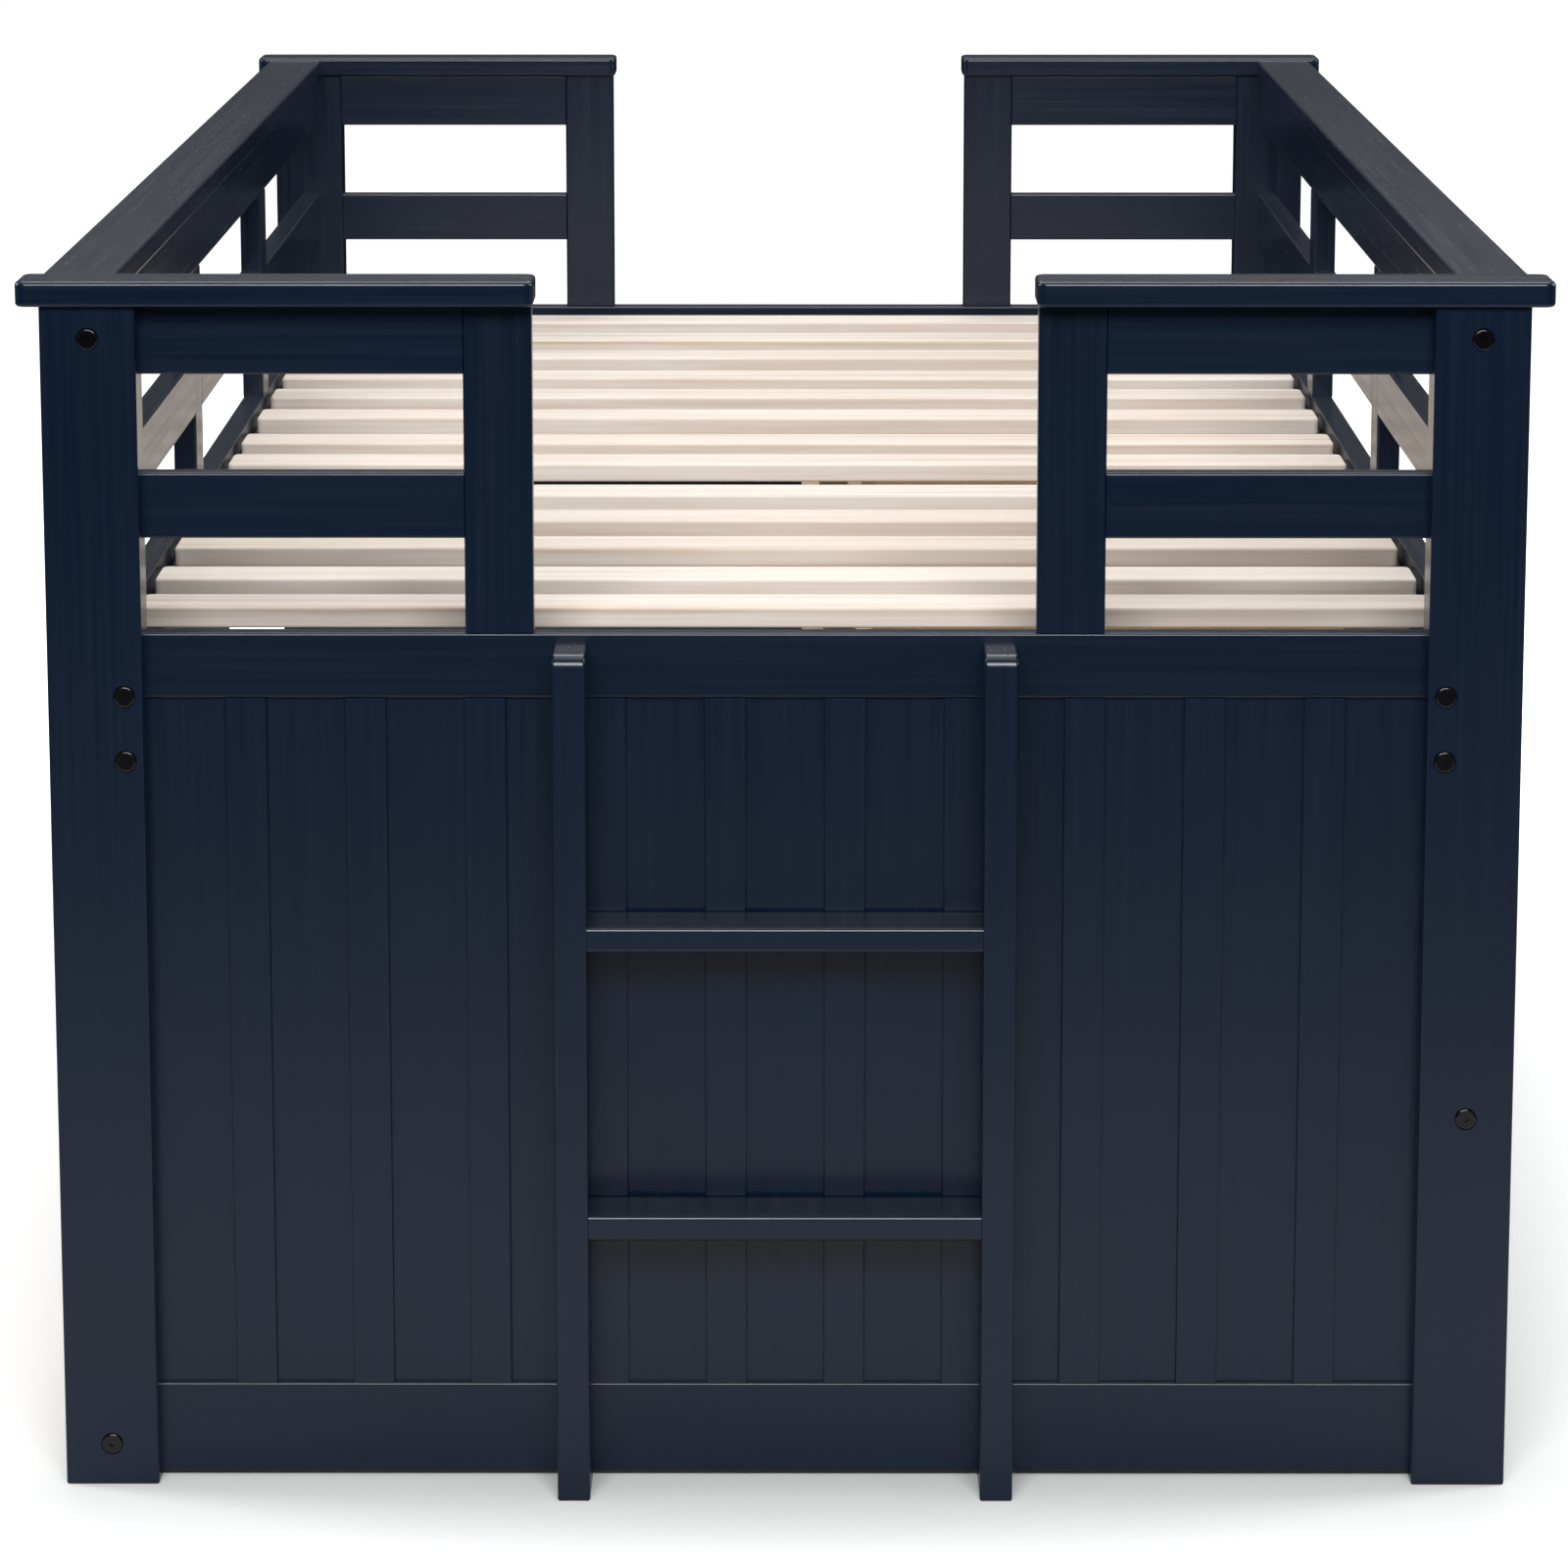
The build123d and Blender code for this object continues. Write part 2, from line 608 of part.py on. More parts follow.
def ladder_treads():
    """Flat treads between the ladder's stiles, with rounded long edges."""
    treads = []
    for top in TREAD_TOPS:
        x = (-LADDER_CLEAR_WIDTH / 2, LADDER_CLEAR_WIDTH / 2)
        body = board(x, tread_span(), (top - TREAD_THICKNESS, top), Axis.X, TREAD_EASE)
        treads.append(drilled(body, HOLES))
    return treads


# Fasteners


def bolt(shank):
    """A low round-headed bolt with a hexagonal socket; its seat is at the local origin, head up."""
    head = Pos(0, 0, BOLT_HEAD_THICKNESS / 2) * Cylinder(BOLT_HEAD_DIAMETER / 2, BOLT_HEAD_THICKNESS)
    head = fillet(head.edges().sort_by(Axis.Z)[-1], BOLT_HEAD_ROUND)
    socket = extrude(RegularPolygon(SOCKET_WIDTH / 2, 6, major_radius=False), SOCKET_DEPTH)
    head -= Pos(0, 0, BOLT_HEAD_THICKNESS - SOCKET_DEPTH) * socket
    return head + Pos(0, 0, -shank / 2) * Cylinder(BOLT_DIAMETER / 2, shank)


def frame_bolts():
    """Bolts through the posts into the ends of the side rails."""
    shank = POST_DEPTH - BOLT_RECESS_DEPTH + NUT_SETBACK + BOLT_PAST_NUT
    pattern = bolt(shank)
    bolts = []
    for end in ENDS:
        for x, z, _ in frame_bolt_places():
            bolts.append(Pos(x, end_y(end, BOLT_RECESS_DEPTH), z) * outward(end) * pattern)
    return bolts


def ladder_bolts():
    """Bolts from inside the bed, through the front end's rails into the ladder's stiles."""
    pattern = bolt(BOARD - BOLT_RECESS_DEPTH + LADDER_BOLT_REACH)
    seat = end_y("front", POST_DEPTH - BOLT_RECESS_DEPTH)
    return [Pos(x, seat, z) * outward("rear") * pattern for x, z in ladder_bolt_places()]


def barrel_nuts():
    """Round cross nuts in the rails, each with the hole that its bolt goes through."""
    pattern = rod((0, 0, 0), "X", NUT_DIAMETER, NUT_LENGTH)
    pattern -= rod((0, 0, 0), "Y", BOLT_DIAMETER + 2 * NUT_CLEARANCE, NUT_DIAMETER + 2 * OVERCUT)
    nuts = []
    for end in ENDS:
        for x, z, _ in frame_bolt_places():
            nuts.append(Pos(x, end_y(end, POST_DEPTH + NUT_SETBACK), z) * pattern)
    return nuts


def dowels():
    return [rod(centre, axis, DOWEL_DIAMETER, DOWEL_LENGTH) for centre, axis in dowel_places()]


# The drawer case


def case_span():
    """The y where the case starts and ends, just clear of the posts."""
    return end_y("front", POST_DEPTH + CASE_END_GAP), end_y("rear", POST_DEPTH + CASE_END_GAP)


def case_deck():
    """The board under the drawers, its front edge in the middle rail's rebate."""
    x = (CASE_BACK_X, SIDE_INNER_X + DECK_REBATE - GROOVE_END_CLEARANCE)
    return board(x, case_span(), (DECK_BOTTOM, MID_RAIL_TOP))


def case_back():
    return board((CASE_BACK_X - CASE_BACK_THICKNESS, CASE_BACK_X), case_span(), (DECK_BOTTOM, CASE_TOP))


def deck_cleats():
    """Cross pieces behind the end panels, which carry the deck and the case back."""
    cleats = []
    for end in ENDS:
        y = (end_y(end, panel_span()[1]), end_y(end, POST_DEPTH + CASE_END_GAP + CLEAT_BEARING))
        z = (DECK_BOTTOM - CLEAT_HEIGHT, DECK_BOTTOM)
        cleats.append(board((-POST_INNER_X, POST_INNER_X), y, z))
    return cleats


def drawer_bays():
    """The clear y span of each drawer's bay, between the boards that line it."""
    start, finish = case_span()
    front_bay, middle_bay, rear_bay = guard_bays()
    return {
        "front": (start + CASE_BOARD, front_bay[1]),
        "middle": middle_bay,
        "rear": (rear_bay[0], finish - CASE_BOARD),
    }


def case_sides():
    """A board on each side of each bay."""
    x = (CASE_BACK_X, SIDE_INNER_X)
    z = (MID_RAIL_TOP, CASE_TOP)
    sides = []
    for low, high in drawer_bays().values():
        sides.append(board(x, (low - CASE_BOARD, low), z))
        sides.append(board(x, (high, high + CASE_BOARD), z))
    return sides


def runner_spans():
    """The x and z spans of the wooden runners on the bays' sides."""
    drawer_bottom = MID_RAIL_TOP + DRAWER_DECK_GAP
    x = (SIDE_INNER_X - DRAWER_DEPTH + RUNNER_END_GAP, SIDE_INNER_X - RUNNER_END_GAP)
    return x, (drawer_bottom + RUNNER_UP, drawer_bottom + RUNNER_UP + RUNNER_HEIGHT)


def drawer_runners():
    x, z = runner_spans()
    runners = []
    for low, high in drawer_bays().values():
        runners.append(board(x, (low, low + RUNNER_THICKNESS), z))
        runners.append(board(x, (high - RUNNER_THICKNESS, high), z))
    return runners


# Drawers


def drawer_face(name):
    """A flat drawer front, inset between the rails and the dividers."""
    opening = dict(zip(drawer_bays(), guard_bays()))[name]
    y = (opening[0] + FACE_GAP, opening[1] - FACE_GAP)
    z = (MID_RAIL_TOP + FACE_GAP, SIDE_RAIL_BOTTOM - FACE_GAP)
    return eased_front(y, z)


def eased_front(y_span, z_span):
    """A front board flush with the side rails, its back just clear of the boards behind it."""
    body = board((FRONT_BACK_X, SIDE_OUTER_X), y_span, z_span)
    return fillet(body.faces().sort_by(Axis.X)[-1].edges(), EDGE_EASE)


def drawer_box(name):
    """Two grooved sides, a front and a back board, and a thin bottom held in their grooves."""
    low, high = drawer_bays()[name]
    low, high = low + DRAWER_SIDE_GAP, high - DRAWER_SIDE_GAP
    back_x = SIDE_INNER_X - DRAWER_DEPTH
    bottom = MID_RAIL_TOP + DRAWER_DECK_GAP
    z = (bottom, bottom + DRAWER_HEIGHT)
    runner_x, runner_z = runner_spans()
    slide_x = (back_x - OVERCUT, runner_x[1] + RUNNER_CLEARANCE)
    slide_z = (runner_z[0] - 2 * RUNNER_CLEARANCE, runner_z[1] + RUNNER_CLEARANCE)
    slide_depth = RUNNER_THICKNESS - DRAWER_SIDE_GAP + RUNNER_SIDE_CLEARANCE
    floor_low = bottom + DRAWER_BOTTOM_UP
    floor_z = (floor_low, floor_low + DRAWER_BOTTOM)
    groove_z = (floor_low - DRAWER_BOTTOM_CLEARANCE, floor_low + DRAWER_BOTTOM + DRAWER_BOTTOM_CLEARANCE)
    inner = (low + DRAWER_BOARD, high - DRAWER_BOARD)
    inner_x = (back_x + DRAWER_BOARD, FRONT_BACK_X - DRAWER_BOARD)
    groove_x = (inner_x[0] - DRAWER_BOTTOM_GROOVE, inner_x[1] + DRAWER_BOTTOM_GROOVE)
    groove_y = (inner[0] - DRAWER_BOTTOM_GROOVE, inner[1] + DRAWER_BOTTOM_GROOVE)
    floor_groove = board(groove_x, groove_y, groove_z)
    boards = []
    for outer, inward in ((low, 1), (high, -1)):
        side = board((back_x, FRONT_BACK_X), (outer, outer + inward * DRAWER_BOARD), z)
        slide_y = (outer - inward * OVERCUT, outer + inward * slide_depth)
        side -= board(slide_x, slide_y, slide_z)
        boards.append(side - floor_groove)
    for x in ((back_x, inner_x[0]), (inner_x[1], FRONT_BACK_X)):
        boards.append(board(x, inner, z) - floor_groove)
    slack = GROOVE_END_CLEARANCE
    floor_x = (groove_x[0] + slack, groove_x[1] - slack)
    boards.append(board(floor_x, (groove_y[0] + slack, groove_y[1] - slack), floor_z))
    return boards


def knob():
    """A turned knob on the local origin, its tapered neck under a domed head."""
    neck = Pos(0, 0, KNOB_HEAD_FROM / 2) * Cone(KNOB_FOOT / 2, KNOB_NECK / 2, KNOB_HEAD_FROM)
    radius = KNOB_DIAMETER / 2
    dome = (radius**2 + KNOB_CROWN**2) / (2 * KNOB_CROWN)
    head = Pos(0, 0, (KNOB_HEAD_FROM + KNOB_LENGTH) / 2) * Cylinder(radius, KNOB_LENGTH - KNOB_HEAD_FROM)
    head &= Pos(0, 0, KNOB_LENGTH - dome) * Sphere(dome)
    rims = head.edges().filter_by(Plane.XY).sort_by(Axis.Z)
    head = fillet(rims[0], KNOB_UNDER_ROUND)
    rims = head.edges().filter_by(Plane.XY).sort_by(Axis.Z)
    return fillet(rims[-1], KNOB_RIM_ROUND) + neck


def knobs(y_span, z, inset):
    """Two knobs on a front board, the same way in from either end."""
    pattern = knob()
    places = (y_span[0] + inset, y_span[1] - inset)
    return [Pos(SIDE_OUTER_X, y, z) * Rot(0, 90, 0) * pattern for y in places]


def drawer_knobs(name):
    opening = dict(zip(drawer_bays(), guard_bays()))[name]
    return knobs(opening, (MID_RAIL_TOP + SIDE_RAIL_BOTTOM) / 2, DRAWER_KNOB_INSET)


# The trundle


def trundle_face():
    y = (end_y("front", POST_DEPTH + FACE_GAP), end_y("rear", POST_DEPTH + FACE_GAP))
    return eased_front(y, (TRUNDLE_FACE_BOTTOM, MID_RAIL_BOTTOM - TRUNDLE_FACE_TOP_GAP))


def trundle_knobs():
    y = (end_y("front", POST_DEPTH), end_y("rear", POST_DEPTH))
    middle = (TRUNDLE_FACE_BOTTOM + MID_RAIL_BOTTOM - TRUNDLE_FACE_TOP_GAP) / 2
    return knobs(y, middle, TRUNDLE_KNOB_INSET)


def trundle_x():
    """The x of the trundle's back, and of its front frame board's outer face."""
    return -SIDE_INNER_X + TRUNDLE_BACK_GAP, FRONT_BACK_X


def trundle_frame():
    """Side boards, front and back boards, the strips under the slats and a middle joist."""
    back, front = trundle_x()
    start = end_y("front", POST_DEPTH + TRUNDLE_END_GAP)
    finish = end_y("rear", POST_DEPTH + TRUNDLE_END_GAP)
    z = (TRUNDLE_SIDE_BOTTOM, TRUNDLE_SIDE_BOTTOM + TRUNDLE_SIDE_HEIGHT)
    inner_y = (start + TRUNDLE_BOARD, finish - TRUNDLE_BOARD)
    strip_low = TRUNDLE_SIDE_BOTTOM + TRUNDLE_LEDGER_UP
    strip_z = (strip_low, strip_low + TRUNDLE_LEDGER_HEIGHT)
    middle = (back + front) / 2
    strips = (
        (back + TRUNDLE_BOARD, back + 2 * TRUNDLE_BOARD),
        (middle - TRUNDLE_BOARD / 2, middle + TRUNDLE_BOARD / 2),
        (front - 2 * TRUNDLE_BOARD, front - TRUNDLE_BOARD),
    )
    boards = [
        board((back, front), (start, inner_y[0]), z, Axis.X),
        board((back, front), (inner_y[1], finish), z, Axis.X),
        board((back, back + TRUNDLE_BOARD), inner_y, z, Axis.Y),
        board((front - TRUNDLE_BOARD, front), inner_y, z, Axis.Y),
    ]
    return boards + [board(x, inner_y, strip_z) for x in strips]


def trundle_slats():
    """Slats across the trundle, evenly spread between its side boards."""
    back, front = trundle_x()
    low = TRUNDLE_SIDE_BOTTOM + TRUNDLE_LEDGER_UP + TRUNDLE_LEDGER_HEIGHT
    x = (back + TRUNDLE_BOARD + TRUNDLE_SLAT_GAP, front - TRUNDLE_BOARD - TRUNDLE_SLAT_GAP)
    start = end_y("front", POST_DEPTH + TRUNDLE_END_GAP) + TRUNDLE_BOARD
    finish = end_y("rear", POST_DEPTH + TRUNDLE_END_GAP) - TRUNDLE_BOARD
    gap = (finish - start - TRUNDLE_SLAT_COUNT * TRUNDLE_SLAT_WIDTH) / (TRUNDLE_SLAT_COUNT + 1)
    planks = []
    for i in range(TRUNDLE_SLAT_COUNT):
        y = start + gap + i * (gap + TRUNDLE_SLAT_WIDTH)
        z = (low, low + TRUNDLE_SLAT_THICKNESS)
        planks.append(board(x, (y, y + TRUNDLE_SLAT_WIDTH), z, Axis.X))
    return planks


def wheel_ys():
    """The y of the middle of each wheel, under the middle of the trundle's side boards."""
    inset = POST_DEPTH + TRUNDLE_END_GAP + TRUNDLE_BOARD / 2
    return [end_y(end, inset) for end in ENDS]


def wheel_xs():
    back, front = trundle_x()
    return {"left": back + WHEEL_INSET, "right": front - WHEEL_INSET}


def caster():
    """A bent steel bracket under a side board, with its axle as a second solid."""
    cheek_inner = WHEEL_WIDTH / 2 + CHEEK_GAP
    cheek_outer = cheek_inner + CHEEK_THICKNESS
    axle_z = WHEEL_DIAMETER / 2
    plate_z = (TRUNDLE_SIDE_BOTTOM - CHEEK_THICKNESS, TRUNDLE_SIDE_BOTTOM)
    half_length, half_width = BRACKET_LENGTH / 2, BRACKET_WIDTH / 2
    bracket = board((-half_length, half_length), (-half_width, half_width), plate_z)
    for side in (-1, 1):
        y = (side * cheek_inner, side * cheek_outer)
        cheek_z = (axle_z - CHEEK_BELOW_AXLE, plate_z[0])
        bracket += board((-CHEEK_LENGTH / 2, CHEEK_LENGTH / 2), y, cheek_z)
    seat = AXLE_DIAMETER + 2 * AXLE_SEAT_CLEARANCE
    bracket -= rod((0, 0, axle_z), "Y", seat, 2 * (cheek_outer + OVERCUT))
    return [bracket, rod((0, 0, axle_z), "Y", AXLE_DIAMETER, 2 * cheek_outer + AXLE_PROUD)]


def casters():
    pattern = caster()
    pieces = []
    for x in wheel_xs().values():
        for y in wheel_ys():
            pieces += [Pos(x, y, 0) * piece for piece in pattern]
    return pieces


def wheels(side):
    """The two wheels of one axle line, each with a running bore and rounded tread edges."""
    wheel = rod((0, 0, 0), "Y", WHEEL_DIAMETER, WHEEL_WIDTH)
    wheel = fillet(wheel.edges().filter_by(GeomType.CIRCLE), WHEEL_EASE)
    wheel -= rod((0, 0, 0), "Y", AXLE_DIAMETER + 2 * AXLE_RUNNING_CLEARANCE, WHEEL_WIDTH + 2 * OVERCUT)
    return [Pos(wheel_xs()[side], y, WHEEL_DIAMETER / 2) * wheel for y in wheel_ys()]


# Every node and its solids


def end_nodes(end):
    top = (END_RAIL_BOTTOM, END_TOP_RAIL_TOP)
    bottom = (END_BOTTOM_RAIL_BOTTOM, END_PANEL_BOTTOM)
    return {
        end + "_left_post": [post(end, "left")],
        end + "_right_post": [post(end, "right")],
        end + "_top_rail": [end_rail(end, *top, "low")],
        end + "_bottom_rail": [end_rail(end, *bottom, "high")],
        end + "_panel": [end_panel(end)],
        end + "_battens": end_battens(end),
        end + "_guard_rails": end_guard_rails(end),
        end + "_guard_stiles": end_guard_stiles(end),
        end + "_caps": end_caps(end),
    }


def side_nodes(side):
    stile_top = SIDE_GUARD_TOP - SIDE_GUARD_TOP_HEIGHT
    return {
        side + "_side_rail": [drilled(side_plank(side, SIDE_RAIL_BOTTOM, SIDE_RAIL_HEIGHT), HOLES)],
        side + "_guard_rails": side_guard_rails(side),
        side + "_guard_stiles": uprights(side, SIDE_RAIL_TOP, stile_top),
        side + "_cap": [side_cap(side)],
        side + "_ledger": [ledger(side)],
    }


def shared_nodes():
    return {
        "left_low_rail": [drilled(side_plank("left", LOW_RAIL_BOTTOM, LOW_RAIL_HEIGHT), HOLES)],
        "right_mid_rail": [mid_rail()],
        "drawer_dividers": uprights("right", MID_RAIL_TOP, SIDE_RAIL_BOTTOM),
        "bed_slats": slats(),
        "slat_pins": slat_pins(),
        "ladder_stiles": ladder_stiles(),
        "ladder_treads": ladder_treads(),
        "ladder_bolts": ladder_bolts(),
        "frame_bolts": frame_bolts(),
        "barrel_nuts": barrel_nuts(),
        "dowels": dowels(),
        "case_deck": [case_deck()],
        "case_back": [case_back()],
        "case_sides": case_sides(),
        "deck_cleats": deck_cleats(),
        "drawer_runners": drawer_runners(),
    }


def drawer_nodes(name):
    return {
        name + "_drawer_face": [drawer_face(name)],
        name + "_drawer_box": drawer_box(name),
        name + "_drawer_knobs": drawer_knobs(name),
    }


def trundle_nodes():
    return {
        "trundle_face": [trundle_face()],
        "trundle_frame": trundle_frame(),
        "trundle_slats": trundle_slats(),
        "trundle_knobs": trundle_knobs(),
        "trundle_casters": casters(),
        "trundle_left_wheels": wheels("left"),
        "trundle_right_wheels": wheels("right"),
    }


def main():
    os.makedirs("parts", exist_ok=True)
    nodes = shared_nodes()
    for end in ENDS:
        nodes.update(end_nodes(end))
    for side in SIDES:
        nodes.update(side_nodes(side))
    for name in drawer_bays():
        nodes.update(drawer_nodes(name))
    nodes.update(trundle_nodes())
    for name, pieces in nodes.items():
        solids = [solid for piece in pieces for solid in piece.solids()]
        export_step(Compound(children=solids), "parts/" + name + ".step")


main()
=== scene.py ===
import math

import bpy
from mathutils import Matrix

# A twin captains bed in navy lacquer over wood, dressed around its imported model.
# X runs across the bed, Y from the ladder end to the rear end, Z up. Lengths are in metres.

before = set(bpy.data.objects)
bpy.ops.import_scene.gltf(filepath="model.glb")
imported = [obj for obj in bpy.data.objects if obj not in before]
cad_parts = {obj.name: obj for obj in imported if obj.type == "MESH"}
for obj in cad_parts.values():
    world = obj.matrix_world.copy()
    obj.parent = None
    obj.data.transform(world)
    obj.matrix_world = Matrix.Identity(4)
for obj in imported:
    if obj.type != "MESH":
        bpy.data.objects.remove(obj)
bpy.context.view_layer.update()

# Finishes, as linear colours
NAVY = (0.0020, 0.0096, 0.0268, 1.0)
NAVY_DEEP = (0.0014, 0.0074, 0.0212, 1.0)
SLAT_PALE = (0.84, 0.77, 0.70, 1.0)
SLAT_TAN = (0.72, 0.60, 0.50, 1.0)
SLAT_PINK = (0.55, 0.38, 0.28, 1.0)
PLY_PALE = (0.66, 0.50, 0.33, 1.0)
PLY_TAN = (0.52, 0.36, 0.21, 1.0)
PLY_STREAK = (0.38, 0.23, 0.12, 1.0)
BEECH_PALE = (0.60, 0.42, 0.26, 1.0)
BEECH_TAN = (0.48, 0.31, 0.17, 1.0)
BEECH_STREAK = (0.34, 0.19, 0.09, 1.0)
GLOSS_BLACK = (0.003, 0.003, 0.004, 1.0)
KNOB_BLACK = (0.012, 0.012, 0.014, 1.0)
WHEEL_GREY = (0.035, 0.035, 0.038, 1.0)
ZINC = (0.56, 0.56, 0.54, 1.0)

# Rows of boards along Y: where each row of slats starts, and the step from slat to slat
SLAT_ROW_LEAD = 0.03
SLAT_ROWS = (-0.838 - SLAT_ROW_LEAD, 0.14283)
TRUNDLE_SLAT_ROWS = (-0.841 - SLAT_ROW_LEAD, 0.14923)

# Gloss and relief, with relief depths in metres
BARE_WOOD_SPECULAR = 0.3
BARE_WOOD_BUMP = 0.35
BARE_WOOD_RELIEF = 0.0004
LACQUER_SMOOTH = 0.20
LACQUER_ROUGH = 0.29
LACQUER_GRAIN = 1.0
LACQUER_BUMP = 0.12
LACQUER_RELIEF = 0.0003
METAL_TOOTH_RELIEF = 0.0002


# Building shader trees


def add(tree, kind, inputs=None, **settings):
    """Adds a node, gives it its settings, then sets or links its inputs."""
    made = tree.nodes.new(kind)
    for name, value in settings.items():
        setattr(made, name, value)
    for name, value in (inputs or {}).items():
        socket = made.inputs[name]
        if isinstance(value, bpy.types.NodeSocket):
            tree.links.new(value, socket)
        else:
            socket.default_value = value
    return made


def maths(tree, operation, first, second=0.0):
    """The result of one sum."""
    return add(tree, "ShaderNodeMath", {0: first, 1: second}, operation=operation).outputs[0]


def blended(tree, share, first, second):
    """One colour mixed into another."""
    made = add(tree, "ShaderNodeMix", data_type="RGBA")
    for socket, value in ((made.inputs[0], share), (made.inputs[6], first), (made.inputs[7], second)):
        if isinstance(value, bpy.types.NodeSocket):
            tree.links.new(value, socket)
        else:
            socket.default_value = value
    return made.outputs[2]


def ranged(tree, value, low, high, to_low, to_high):
    """A value moved from one range to another, and held inside it."""
    wires = {"Value": value, "From Min": low, "From Max": high, "To Min": to_low, "To Max": to_high}
    return add(tree, "ShaderNodeMapRange", wires).outputs["Result"]


def noise(tree, vector, scale, detail=2.0, roughness=0.5):
    """Soft noise between about 0 and 1."""
    wires = {"Vector": vector, "Scale": scale, "Detail": detail, "Roughness": roughness}
    return add(tree, "ShaderNodeTexNoise", wires).outputs["Fac"]


def stretched(tree, vector, along, across):
    """A vector scaled by one number along the grain and another across it."""
    wires = {0: vector, 1: (along, across, across)}
    return add(tree, "ShaderNodeVectorMath", wires, operation="MULTIPLY").outputs[0]


def new_group(name, inputs, outputs):
    """An empty node group with named sockets."""
    tree = bpy.data.node_groups.new(name, "ShaderNodeTree")
    for label, kind, value in inputs:
        socket = tree.interface.new_socket(label, in_out="INPUT", socket_type=kind)
        if value is not None:
            socket.default_value = value
    for label, kind in outputs:
        tree.interface.new_socket(label, in_out="OUTPUT", socket_type=kind)
    start = tree.nodes.new("NodeGroupInput")
    finish = tree.nodes.new("NodeGroupOutput")
    return tree, start.outputs, finish.inputs


def wood_grain_group():
    """Straight grained bare wood: fine fibres, soft bands and a few darker streaks."""
    colour, value = "NodeSocketColor", "NodeSocketFloat"
    tree, given, out = new_group(
        "wood grain",
        [
            ("Vector", "NodeSocketVector", None),
            ("Board", value, 0.0),
            ("Pale", colour, SLAT_PALE),
            ("Tan", colour, SLAT_TAN),
            ("Streak", colour, SLAT_PINK),
            ("Streaks", value, 0.5),
            ("Variety", value, 0.2),
        ],
        [("Color", colour), ("Roughness", value), ("Height", value)],
    )
    own = add(tree, "ShaderNodeTexWhiteNoise", {"W": given["Board"]}, noise_dimensions="1D")
    shift = stretched(tree, own.outputs["Color"], along=3.0, across=3.0)
    wires = {0: given["Vector"], 1: shift}
    moved = add(tree, "ShaderNodeVectorMath", wires, operation="ADD").outputs[0]
    bands = noise(tree, stretched(tree, moved, along=1.2, across=26.0), 2.2, 3.0, 0.6)
    fibres = noise(tree, stretched(tree, moved, along=9.0, across=520.0), 1.0, 3.0, 0.65)
    flecks = noise(tree, stretched(tree, moved, along=5.0, across=150.0), 1.6, 2.0, 0.5)
    streaks = noise(tree, stretched(tree, moved, along=0.9, across=70.0), 1.1, 2.0, 0.55)
    band_tone = ranged(tree, bands, 0.36, 0.66, 0.0, 0.62)
    fibre_tone = ranged(tree, fibres, 0.3, 0.7, -0.16, 0.3)
    tone = maths(tree, "ADD", band_tone, fibre_tone)
    own_tone = maths(tree, "MULTIPLY", maths(tree, "SUBTRACT", own.outputs["Value"], 0.5), given["Variety"])
    tone = add(tree, "ShaderNodeMath", {0: tone, 1: own_tone}, operation="ADD", use_clamp=True).outputs[0]
    base = blended(tree, tone, given["Pale"], given["Tan"])
    mask = maths(tree, "MULTIPLY", ranged(tree, streaks, 0.56, 0.72, 0.0, 1.0), given["Streaks"])
    mask = maths(tree, "MULTIPLY", mask, ranged(tree, flecks, 0.35, 0.65, 0.35, 1.0))
    tree.links.new(blended(tree, mask, base, given["Streak"]), out["Color"])
    tree.links.new(ranged(tree, fibres, 0.25, 0.75, 0.50, 0.68), out["Roughness"])
    tree.links.new(maths(tree, "ADD", fibres, maths(tree, "MULTIPLY", flecks, 0.6)), out["Height"])
    return tree


def lacquer_group():
    """Satin lacquer brushed along the board, with the grain just showing through."""
    colour, value = "NodeSocketColor", "NodeSocketFloat"
    tree, given, out = new_group(
        "satin lacquer",
        [
            ("Vector", "NodeSocketVector", None),
            ("Color", colour, NAVY),
            ("Shade", colour, NAVY_DEEP),
            ("Grain", value, LACQUER_GRAIN),
            ("Smooth", value, LACQUER_SMOOTH),
            ("Rough", value, LACQUER_ROUGH),
        ],
        [("Color", colour), ("Roughness", value), ("Height", value)],
    )
    clouds = noise(tree, given["Vector"], 4.0, 3.0, 0.5)
    strokes = noise(tree, stretched(tree, given["Vector"], along=3.0, across=210.0), 1.0, 3.0, 0.6)
    pores = noise(tree, stretched(tree, given["Vector"], along=22.0, across=620.0), 1.0, 2.0, 0.5)
    peel = noise(tree, given["Vector"], 420.0, 1.0, 0.4)
    tone = maths(tree, "ADD", maths(tree, "MULTIPLY", clouds, 0.6), maths(tree, "MULTIPLY", strokes, 0.4))
    share = ranged(tree, tone, 0.3, 0.7, 0.0, 1.0)
    tree.links.new(blended(tree, share, given["Shade"], given["Color"]), out["Color"])
    spread = maths(tree, "SUBTRACT", given["Rough"], given["Smooth"])
    rough = maths(tree, "MULTIPLY", ranged(tree, strokes, 0.25, 0.75, 0.0, 1.0), spread)
    tree.links.new(maths(tree, "ADD", rough, given["Smooth"]), out["Roughness"])
    grain = maths(tree, "ADD", strokes, maths(tree, "MULTIPLY", pores, 0.5))
    grain = maths(tree, "MULTIPLY", grain, given["Grain"])
    tree.links.new(maths(tree, "ADD", grain, maths(tree, "MULTIPLY", peel, 0.7)), out["Height"])
    return tree


WOOD_GRAIN = wood_grain_group()
LACQUER = lacquer_group()


